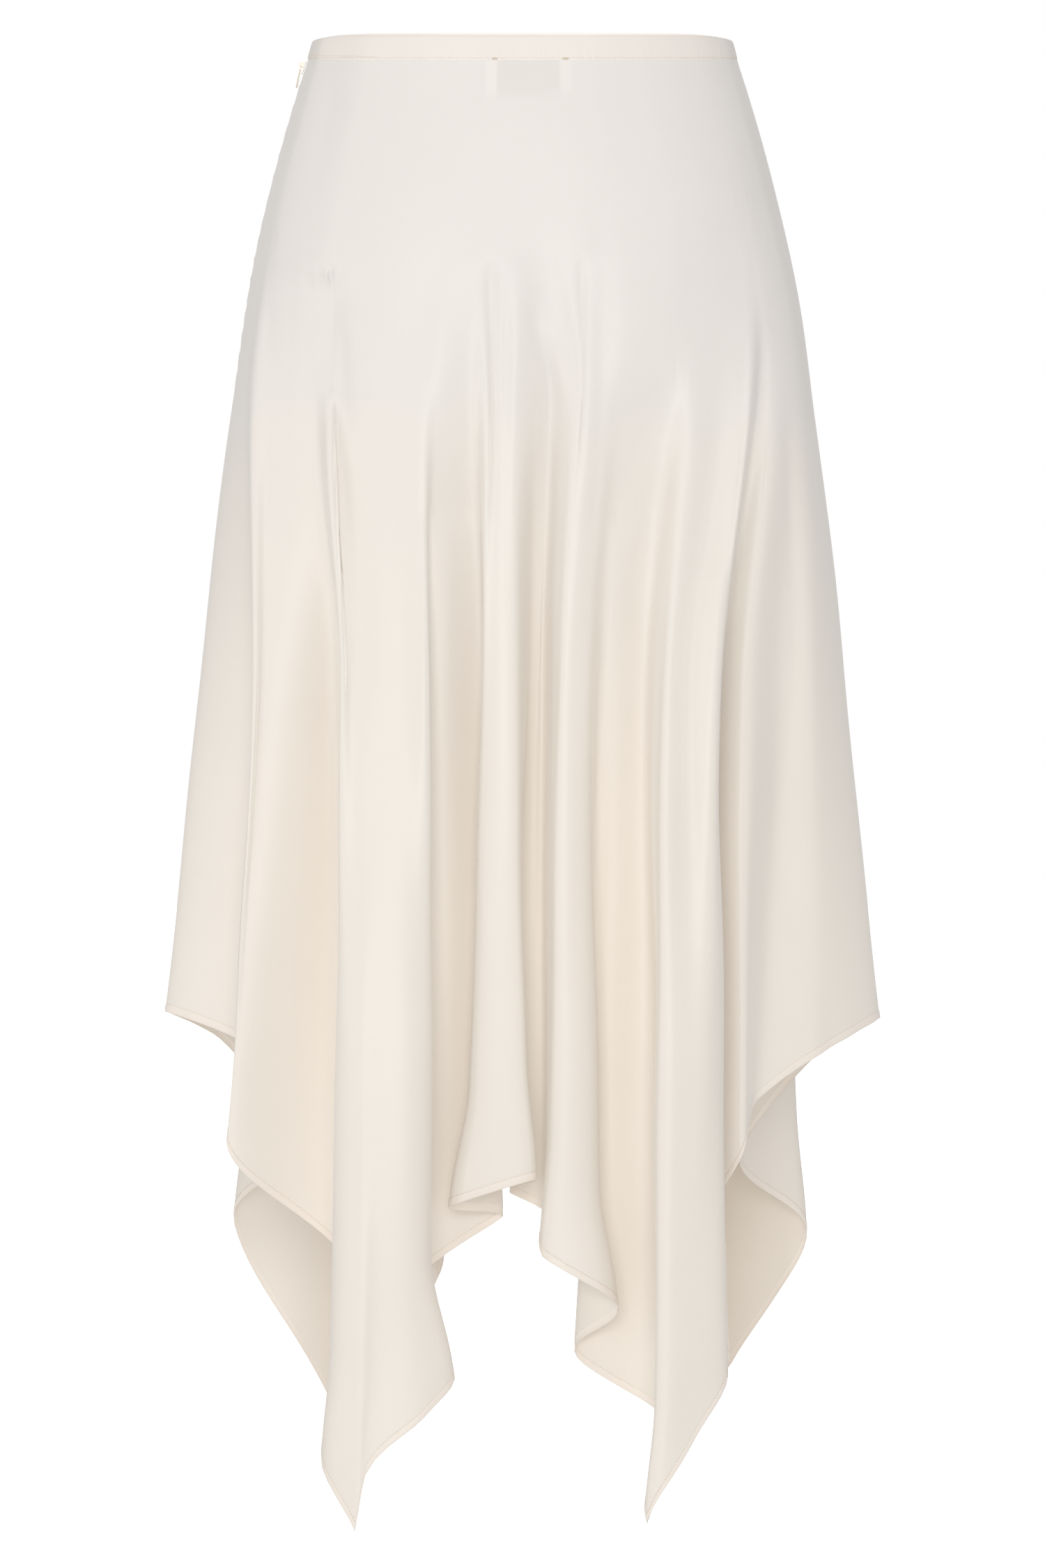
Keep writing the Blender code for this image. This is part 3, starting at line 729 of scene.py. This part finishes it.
def stitch_along(name, path, normals, pitch, share):
    """Stitches along a dense path of points, each covering its share of the pitch."""
    stations = row_points(path, pitch)
    rank = np.arange(len(path))
    ends = stations[:-1] + (stations[1:] - stations[:-1]) * share
    read = lambda values, at: np.stack([np.interp(at, rank, values[:, k]) for k in range(3)], axis=1)
    middle_normal = read(normals, stations[:-1])
    middle_normal /= np.linalg.norm(middle_normal, axis=1, keepdims=True)
    return stitch_row(name, read(path, stations[:-1]), read(path, ends), middle_normal)


# %% [markdown]
# The hem's stitches run about 5 mm above the edge, and the band's run just above its seam. On the
# left end of the band a second short row holds the turned end of the strip.

# %% Hem and band stitches
STITCH_PITCH = 2.2
STITCH_SHARE = 0.72


def hem_stitches(name, first_line, last_line):
    """The row of stitches that holds the turned hem of one panel."""
    places = np.linspace(first_line + 0.05, last_line - 0.05, 2600)
    drops = hem_drop(places) - HEM_DEPTH
    normal = outward(places, drops)
    relief = cloth_relief(places, drops, np.full(places.shape, HEM_DEPTH))
    path = plan(places, drops) + normal * relief[:, None]
    return stitch_along(name, path, normal, STITCH_PITCH, STITCH_SHARE)


def band_stitches(name, first, last, low, high):
    """A row along the band whose height above the seam goes from low to high, in millimetres."""
    places = np.linspace(first, last, 1600)
    heights = np.linspace(low, high, len(places)) / BAND_HEIGHT
    surface, normal = band_surface(places, heights)
    puff = BAND_PUFF * (1 - (2 * heights - 1) ** 2)
    path = surface + normal * (BAND_PROUD + puff)[:, None]
    return stitch_along(name, path, normal, STITCH_PITCH, STITCH_SHARE)


stitches = [
    hem_stitches("back_hem_stitches", 0, RIGHT_SEAM),
    hem_stitches("front_hem_stitches", RIGHT_SEAM, LINES),
    band_stitches("band_stitches", 0.06, LINES - 0.06, BAND_STITCH_HEIGHT, BAND_STITCH_HEIGHT),
    band_stitches("band_end_stitches", 0.06, 4.2, BAND_STITCH_HEIGHT + 2.6, BAND_STITCH_HEIGHT + 0.3),
]
print("stitches", sum(len(piece.data.polygons) for piece in stitches) // 28)

# %% [markdown]
# The care label is a blank woven strip, caught into the waist seam behind the centre back. Its two
# ends are folded under, so they are a little thicker. Its shade through the satin is painted into the
# panel's colour, and it is held at its top corners by two small bar tacks that show on the band.

# %% Care label and bar tacks
LABEL_CLOTH = 0.45
TACK_LENGTH = 4.0
TACK_COUNT = 5


def line_at(x, drop):
    """The place round the back where the cloth has this sideways place, by interpolation."""
    search = np.linspace(1, RIGHT_SEAM - 1, 800)
    return np.interp(x, plan(search, drop)[:, 0], search)


def make_label():
    """A flat grid on the panel's inner side, thicker by one layer over its folded ends."""
    left, right = line_at(np.array([LABEL_LEFT, LABEL_RIGHT]), LABEL_LEVEL)
    around, drops = np.meshgrid(np.linspace(left, right, 64), np.linspace(LABEL_TOP, LABEL_BOTTOM, 14))
    surface = plan(around, drops)
    normal = outward(around, drops)
    x = surface[..., 0]
    ends = np.maximum(ease((LABEL_LEFT + LABEL_FOLD - x) / 0.8), ease((x - LABEL_RIGHT + LABEL_FOLD) / 0.8))
    ripple = 0.12 * np.sin(x / 4.0) * ease((drops - LABEL_TOP) / 10)
    face = surface - normal * (WALL + SEAM_GAP + 0.2 + ripple)[..., None]
    back = face - normal * (LABEL_CLOTH + 0.3 * ends)[..., None]
    return shell_mesh("label_cloth", face, back, x, drops)


def make_tacks():
    """Short parallel stitches side by side at the label's two top corners."""
    starts, ends, normals = [], [], []
    for x in (LABEL_LEFT + 6.0, LABEL_RIGHT - 4.0):
        for k in range(TACK_COUNT):
            span = x + np.array([-TACK_LENGTH, TACK_LENGTH]) / 2
            places = line_at(span, 8.0)
            height = np.full(2, (0.7 + 0.28 * k) / BAND_HEIGHT)
            surface, normal = band_surface(places, height)
            path = surface + normal * (BAND_PROUD + 0.03)
            starts.append(path[0])
            ends.append(path[1])
            normals.append(normal[0])
    return stitch_row("label_tacks", np.array(starts), np.array(ends), np.array(normals))


label_cloth = make_label()
stitches.append(make_tacks())

# %% [markdown]
# An invisible zip is sewn behind the seam. Its tape carries a row of small plastic teeth on the
# inside, and only the slider and its drop-shaped pull show outside, at the top of the seam.

# %% Zip tape and teeth
ZIP_TOP = -3.0
ZIP_TAPE_WIDTH = 22.0
ZIP_TAPE_WALL = 1.0
ZIP_TAPE_INSET = 2.3
TOOTH_PITCH = 1.1
TOOTH_SIZE = (0.35, 1.9, 0.55)


def seam_grid(reaches, drops):
    """Places round the skirt that lie the given distances from the left side seam, at each height."""
    around = np.empty((len(drops), len(reaches)))
    for row, drop in enumerate(drops):
        lengths = segment_lengths(drop)
        around[row] = np.where(reaches < 0, reaches / lengths[-1], reaches / lengths[0])
    return around, np.repeat(drops[:, None], len(reaches), axis=1)


def make_tape():
    """Two tapes as one strip with a raised cord beside the teeth."""
    reaches = np.linspace(-0.5, 0.5, 25) * ZIP_TAPE_WIDTH
    around, drops = seam_grid(reaches, np.linspace(ZIP_TOP, ZIP_BOTTOM, 90))
    normal = outward(around, drops)
    normal[..., 2] = 0
    face = plan(around, drops) - normal * ZIP_TAPE_INSET
    cord = 0.5 * np.exp(-((np.abs(reaches) - 2.2) / 0.8) ** 2)
    back = face - normal * (0.45 + cord)[None, :, None]
    return shell_mesh("zip_tape_cloth", face, back, np.repeat(reaches[None, :], 90, axis=0), drops)


def make_teeth():
    """Small boxes that alternate from side to side down the inside of the tape."""
    drops = np.arange(ZIP_TOP + 10, ZIP_BOTTOM - 6, TOOTH_PITCH / 2)
    side = np.where(np.arange(len(drops)) % 2, 0.45, -0.45)
    lengths = np.array([segment_lengths(drop)[0] for drop in drops])
    around = side / lengths
    surface = plan(around, drops)
    normal = outward(around, drops)
    normal[:, 2] = 0
    normal /= np.linalg.norm(normal, axis=1, keepdims=True)
    down = np.array([0, 0, -1.0])[None, :] * np.ones((len(drops), 1))
    across = np.cross(down, normal)
    centre = surface - normal * (ZIP_TAPE_INSET + 0.75)
    corners = []
    for x in (-1, 1):
        for y in (-1, 1):
            for z in (-1, 1):
                corners.append(centre + down * x * TOOTH_SIZE[0] / 2 + across * y * TOOTH_SIZE[1] / 2
                               + normal * z * TOOTH_SIZE[2] / 2)
    points = np.stack(corners, axis=1).reshape(-1, 3)
    box = np.array([(0, 1, 3, 2), (4, 6, 7, 5), (0, 4, 5, 1), (2, 3, 7, 6), (0, 2, 6, 4), (1, 5, 7, 3)])
    faces = (box[None] + 8 * np.arange(len(drops))[:, None, None]).reshape(-1, 4)
    return grid_object("zip_teeth", points * MM, faces, smooth=False)


zip_tape_cloth = make_tape()
zip_teeth = make_teeth()
print("teeth", len(zip_teeth.data.polygons) // 6)

# %% [markdown]
# Satin is woven so that long threads float on its face, which gives the soft sheen. The weave is
# far finer than a pixel, so it is a bump of very fine diagonal lines and grain, built once as a
# group and shared by every cloth here.

# %% Shared node groups
def new_group(name, inputs, outputs):
    """An empty shader group with named float and colour sockets."""
    group = bpy.data.node_groups.new(name, "ShaderNodeTree")
    for label, kind, value in inputs:
        socket = group.interface.new_socket(label, in_out="INPUT", socket_type=kind)
        socket.default_value = value
    for label, kind in outputs:
        group.interface.new_socket(label, in_out="OUTPUT", socket_type=kind)
    return group, group.nodes.new("NodeGroupInput"), group.nodes.new("NodeGroupOutput")


def math_node(tree, operation, first, second):
    """A math node whose inputs are sockets or numbers."""
    node = tree.nodes.new("ShaderNodeMath")
    node.operation = operation
    for socket, value in zip(node.inputs, (first, second)):
        if isinstance(value, (int, float)):
            socket.default_value = value
        else:
            tree.links.new(value, socket)
    return node.outputs[0]


def make_weave_group():
    """Fine diagonal thread lines and grain, as a height between 0 and 1."""
    inputs = (("Threads", "NodeSocketFloat", 2600.0), ("Grain", "NodeSocketFloat", 5200.0))
    group, given, result = new_group("satin_weave", inputs, (("Height", "NodeSocketFloat"),))
    place = group.nodes.new("ShaderNodeUVMap")
    place.uv_map = "cloth"
    wave = group.nodes.new("ShaderNodeTexWave")
    wave.wave_type = "BANDS"
    wave.bands_direction = "DIAGONAL"
    wave.inputs["Distortion"].default_value = 2.5
    wave.inputs["Detail"].default_value = 2.0
    group.links.new(place.outputs[0], wave.inputs["Vector"])
    group.links.new(given.outputs["Threads"], wave.inputs["Scale"])
    grain = group.nodes.new("ShaderNodeTexNoise")
    grain.inputs["Detail"].default_value = 2.0
    group.links.new(place.outputs[0], grain.inputs["Vector"])
    group.links.new(given.outputs["Grain"], grain.inputs["Scale"])
    both = math_node(group, "ADD", math_node(group, "MULTIPLY", wave.outputs[1], 0.5),
                     math_node(group, "MULTIPLY", grain.outputs[0], 0.5))
    group.links.new(both, result.inputs["Height"])
    return group


def make_mottle_group():
    """A slow, uneven value round 1 that keeps a plain cloth from looking painted."""
    inputs = (("Size", "NodeSocketFloat", 14.0), ("Amount", "NodeSocketFloat", 0.03))
    group, given, result = new_group("cloth_mottle", inputs, (("Value", "NodeSocketFloat"),))
    place = group.nodes.new("ShaderNodeTexCoord")
    noise = group.nodes.new("ShaderNodeTexNoise")
    noise.inputs["Detail"].default_value = 3.0
    group.links.new(place.outputs["Object"], noise.inputs["Vector"])
    group.links.new(given.outputs["Size"], noise.inputs["Scale"])
    offset = math_node(group, "SUBTRACT", noise.outputs[0], 0.5)
    scaled = math_node(group, "MULTIPLY", offset, given.outputs["Amount"])
    group.links.new(math_node(group, "ADD", scaled, 1.0), result.inputs["Value"])
    return group


weave_group = make_weave_group()
mottle_group = make_mottle_group()

# %% [markdown]
# The satin is a warm ivory. A painted tint stands in for light: cooler over the hips, where the cloth
# lies close to the body's form, and warmer where it hangs free and light passes between its folds.
# The turned hem is a little pinker, because three layers lie on each other. The label's shade through
# the satin is painted: painted shade over its middle and painted light over its folded ends. A dark
# painted shade line runs beside the zip's seam. A painted glow, an emission, stands in for light that
# passes through the thin cloth, on the floors of the valleys and on the inner face.

# %% Satin materials
# Painted tint for light through the cloth: cool over the hips, warm where the cloth hangs free.
SATIN_COOL = (0.786, 0.752, 0.714, 1)
SATIN_WARM = (0.824, 0.769, 0.702, 1)
HEM_TINT = (0.860, 0.778, 0.705, 1)
# Painted shade and painted light of the label seen through the satin.
PAINTED_LABEL_SHADE = (0.728, 0.684, 0.650, 1)
PAINTED_LABEL_LIGHT = (0.870, 0.830, 0.786, 1)
# Colour of the painted shade line beside the zip's seam.
SEAM_SHADE_COLOUR = (0.420, 0.260, 0.120, 1)
# Painted glow: this colour is emitted by the satin, standing in for light that passes through the cloth.
THROUGH_LIGHT = (1.0, 0.95, 0.86, 1)
THROUGH_SHARE = 0.09
BAND_INSIDE_GLOW = 0.22
BAND_COLOUR = (0.820, 0.770, 0.722, 1)


def add_group(tree, group, **values):
    """Places a shared group in a material with its own values."""
    node = tree.nodes.new("ShaderNodeGroup")
    node.node_tree = group
    for label, value in values.items():
        node.inputs[label].default_value = value
    return node


def attribute(tree, name):
    """A point value of the piece, as a socket."""
    node = tree.nodes.new("ShaderNodeAttribute")
    node.attribute_name = name
    return node.outputs["Fac"]


def mix_colour(tree, share, first, second):
    """A colour mix whose parts are sockets or colours."""
    node = tree.nodes.new("ShaderNodeMix")
    node.data_type = "RGBA"
    for socket, value in ((node.inputs[0], share), (node.inputs[6], first), (node.inputs[7], second)):
        if isinstance(value, (int, float, tuple)):
            socket.default_value = value
        else:
            tree.links.new(value, socket)
    return node.outputs[2]


def start_material(name, roughness, sheen=0.0, metallic=0.0):
    """A new material with its Principled shader, whose even values are set on its own sockets."""
    material = bpy.data.materials.new(name)
    material.use_nodes = True
    shader = material.node_tree.nodes["Principled BSDF"]
    shader.inputs["Roughness"].default_value = roughness
    shader.inputs["Metallic"].default_value = metallic
    shader.inputs["Sheen Weight"].default_value = sheen
    shader.inputs["Sheen Roughness"].default_value = 0.4
    return material, shader


def finish_cloth(material, shader, colour, depth, threads, mottle):
    """Joins colour, mottling and weave bump to a cloth's shader."""
    tree = material.node_tree
    uneven = add_group(tree, mottle_group, Amount=mottle)
    scaled = tree.nodes.new("ShaderNodeVectorMath")
    scaled.operation = "SCALE"
    tree.links.new(uneven.outputs[0], scaled.inputs["Scale"])
    if isinstance(colour, tuple):
        scaled.inputs[0].default_value = colour[:3]
    else:
        tree.links.new(colour, scaled.inputs[0])
    tree.links.new(scaled.outputs[0], shader.inputs["Base Color"])
    weave = add_group(tree, weave_group, Threads=threads)
    bump = tree.nodes.new("ShaderNodeBump")
    bump.inputs["Strength"].default_value = 0.35
    bump.inputs["Distance"].default_value = depth
    tree.links.new(weave.outputs[0], bump.inputs["Height"])
    tree.links.new(bump.outputs[0], shader.inputs["Normal"])
    return material


def make_satin():
    """Ivory satin: its colour carries the painted warmth, hem tint, painted label shade and painted seam
    shade, and it has a painted glow.
    """
    material, shader = start_material("ivory_satin", 0.46, sheen=0.3)
    shader.inputs["Specular IOR Level"].default_value = 0.4
    shader.inputs["Emission Color"].default_value = THROUGH_LIGHT
    tree = material.node_tree
    # Painted tint: warm where light passes through the hanging cloth, cool over the hips.
    base = mix_colour(tree, attribute(tree, "painted_warmth"), SATIN_COOL, SATIN_WARM)
    # Painted shade over the label's middle and painted light over its folded ends.
    for name, colour in (("painted_label_shade_mask", PAINTED_LABEL_SHADE), ("painted_label_light_mask", PAINTED_LABEL_LIGHT)):
        ghost = math_node(tree, "MULTIPLY", attribute(tree, name), 0.4)
        base = mix_colour(tree, ghost, base, colour)
    # Painted shade line along the zip's seam.
    base = mix_colour(tree, attribute(tree, "painted_seam_shade"), base, SEAM_SHADE_COLOUR)
    # Painted glow: emission in the valleys and on the inner face.
    glow = math_node(tree, "MULTIPLY", attribute(tree, "painted_glow"), THROUGH_SHARE)
    tree.links.new(glow, shader.inputs["Emission Strength"])
    material.cycles.emission_sampling = "NONE"
    ramp = tree.nodes.new("ShaderNodeMapRange")
    ramp.inputs["From Min"].default_value = (HEM_DEPTH + 0.4) * MM
    ramp.inputs["From Max"].default_value = (HEM_DEPTH - 0.4) * MM
    tree.links.new(attribute(tree, "above_hem"), ramp.inputs["Value"])
    hem_share = math_node(tree, "MULTIPLY", ramp.outputs[0], 0.65)
    base = mix_colour(tree, hem_share, base, HEM_TINT)
    return finish_cloth(material, shader, base, 0.00002, 2600.0, 0.035)


def make_band_satin():
    """The satin of the band, whose inside has a painted glow, an emission standing in for light through the
    single layer.
    """
    material, shader = start_material("band_satin", 0.45, sheen=0.1)
    shader.inputs["Emission Color"].default_value = THROUGH_LIGHT
    tree = material.node_tree
    # Painted glow on the inner face of the band, standing in for light through the single layer.
    glow = math_node(tree, "MULTIPLY", attribute(tree, "inside"), BAND_INSIDE_GLOW)
    tree.links.new(glow, shader.inputs["Emission Strength"])
    material.cycles.emission_sampling = "NONE"
    return finish_cloth(material, shader, BAND_COLOUR, 0.00002, 2600.0, 0.05)


def make_plain_cloth(name, colour, roughness, depth, threads):
    """A cloth of one colour with the shared weave."""
    material, shader = start_material(name, roughness, sheen=0.1)
    return finish_cloth(material, shader, colour, depth, threads, 0.05)


satin = make_satin()
band_satin = make_band_satin()
label_weave = make_plain_cloth("label_weave", (0.78, 0.77, 0.74, 1), 0.6, 0.00005, 1500.0)
tape_weave = make_plain_cloth("tape_weave", (0.70, 0.63, 0.53, 1), 0.7, 0.00008, 1300.0)

# %% [markdown]
# Sewing thread is a twisted yarn in a slightly warmer shade than the cloth. The zip's slider and
# pull are small castings under ivory enamel, a little uneven in colour and gloss.

# %% Thread and enamel
def make_thread():
    """Twisted thread: fine slanted bands over a warm ivory."""
    material, shader = start_material("sewing_thread", 0.55, sheen=0.2)
    tree = material.node_tree
    place = tree.nodes.new("ShaderNodeTexCoord")
    twist = tree.nodes.new("ShaderNodeTexWave")
    twist.bands_direction = "DIAGONAL"
    twist.inputs["Scale"].default_value = 900.0
    tree.links.new(place.outputs["Object"], twist.inputs["Vector"])
    colour = mix_colour(tree, twist.outputs[1], (0.68, 0.58, 0.46, 1), (0.80, 0.70, 0.58, 1))
    tree.links.new(colour, shader.inputs["Base Color"])
    return material


def make_enamel():
    """Ivory enamel on a casting, with uneven gloss."""
    material, shader = start_material("ivory_enamel", 0.3)
    tree = material.node_tree
    uneven = add_group(tree, mottle_group, Size=420.0, Amount=0.25)
    rough = math_node(tree, "MULTIPLY", uneven.outputs[0], 0.3)
    tree.links.new(rough, shader.inputs["Roughness"])
    colour = mix_colour(tree, uneven.outputs[0], (0.50, 0.42, 0.32, 1), (0.74, 0.66, 0.54, 1))
    tree.links.new(colour, shader.inputs["Base Color"])
    shader.inputs["Coat Weight"].default_value = 0.4
    return material


thread = make_thread()
enamel = make_enamel()


def dress(piece, material):
    """Gives a piece or a carried-over node its one material."""
    piece.data.materials.clear()
    piece.data.materials.append(material)


for piece, material in ((back_cloth, satin), (front_cloth, satin), (waistband_cloth, band_satin),
                        (label_cloth, label_weave), (zip_tape_cloth, tape_weave), (zip_teeth, enamel)):
    dress(piece, material)
for piece in stitches:
    dress(piece, thread)
for node in ("zip_slider", "zip_pull"):
    dress(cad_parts[node], enamel)

# %% [markdown]
# Each new piece rides on the skirt's body and stands for the imported node that it replaces,
# which is hidden.

# %% Join the pieces to the frame
REPLACED = ((back_cloth, "back_panel", "satin"), (front_cloth, "front_panel", "satin"),
            (waistband_cloth, "waistband", "band_satin"), (label_cloth, "care_label", "label_cloth"),
            (zip_tape_cloth, "zip_tape", "zip_cloth"))
for piece, node, slot in REPLACED:
    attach(piece, "skirt")
    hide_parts(node)
for piece in stitches:
    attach(piece, "skirt")
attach(zip_teeth, "skirt")

# %% [markdown]
# The stage is a plain white floor under an even white surround. Both look fully white to the camera
# but give less light than that, so that one broad lamp near the camera shapes the folds: it lights
# the bottoms of the valleys as well as the ridges, and leaves the steep sides between them darker.
# Weaker lamps light the two sides, the left more than the right, and one above lights the band.

# %% Floor and light
FLOOR_HEIGHT = -1.06
FLOOR_HALF = 40.0
WHITE = 1.0


def camera_value(tree, seen, given):
    """A strength that is one value to the camera and another as light."""
    ray = tree.nodes.new("ShaderNodeLightPath")
    strength = tree.nodes.new("ShaderNodeMapRange")
    strength.inputs["To Min"].default_value = given
    strength.inputs["To Max"].default_value = seen
    tree.links.new(ray.outputs["Is Camera Ray"], strength.inputs["Value"])
    return strength.outputs[0]


def make_floor():
    """A large flat floor of one quad."""
    corners = np.array([(-1, -1), (1, -1), (1, 1), (-1, 1)], float) * FLOOR_HALF
    points = np.column_stack([corners, np.full(4, FLOOR_HEIGHT)])
    floor = grid_object("floor", points, np.array([[0, 1, 2, 3]]), smooth=False)
    material, shader = start_material("floor_white", 0.9)
    shader.inputs["Base Color"].default_value = (0.8, 0.8, 0.8, 1)
    shader.inputs["Emission Color"].default_value = (1, 1, 1, 1)
    tree = material.node_tree
    tree.links.new(camera_value(tree, WHITE, 0.14), shader.inputs["Emission Strength"])
    material.cycles.emission_sampling = "NONE"
    dress(floor, material)


def soft_lamp(name, place, aim, size, power, colour=(1, 1, 1)):
    """A square area lamp that faces its aim."""
    data = bpy.data.lights.new(name, "AREA")
    data.energy = power
    data.size = size
    data.color = colour
    lamp = bpy.data.objects.new(name, data)
    bpy.context.scene.collection.objects.link(lamp)
    lamp.location = place
    back = np.array(place, float) - np.array(aim, float)
    tilt = math.atan2(math.hypot(back[0], back[1]), back[2])
    lamp.rotation_euler = (tilt, 0, math.atan2(back[1], back[0]) + math.pi / 2)


def make_surround():
    """An even surround, seen as white and weaker as light."""
    world = bpy.data.worlds.new("surround")
    bpy.context.scene.world = world
    world.use_nodes = True
    tree = world.node_tree
    background = tree.nodes["Background"]
    background.inputs["Color"].default_value = (1, 1, 1, 1)
    tree.links.new(camera_value(tree, WHITE, 0.51), background.inputs["Strength"])


make_floor()
make_surround()
soft_lamp("key", (-0.2, -5.6, 0.15), (0, 0, -0.45), 1.8, 89, (1, 0.99, 0.975))
soft_lamp("left", (-3.8, -1.8, 0.0), (0, 0, -0.5), 1.8, 25, (1, 0.98, 0.95))
soft_lamp("right", (3.8, -1.8, 0.0), (0, 0, -0.5), 1.8, 13, (1, 0.98, 0.95))
soft_lamp("above", (0.0, -1.5, 2.2), (0, 0, 0), 1.8, 12)
bpy.context.scene.view_settings.view_transform = "Standard"
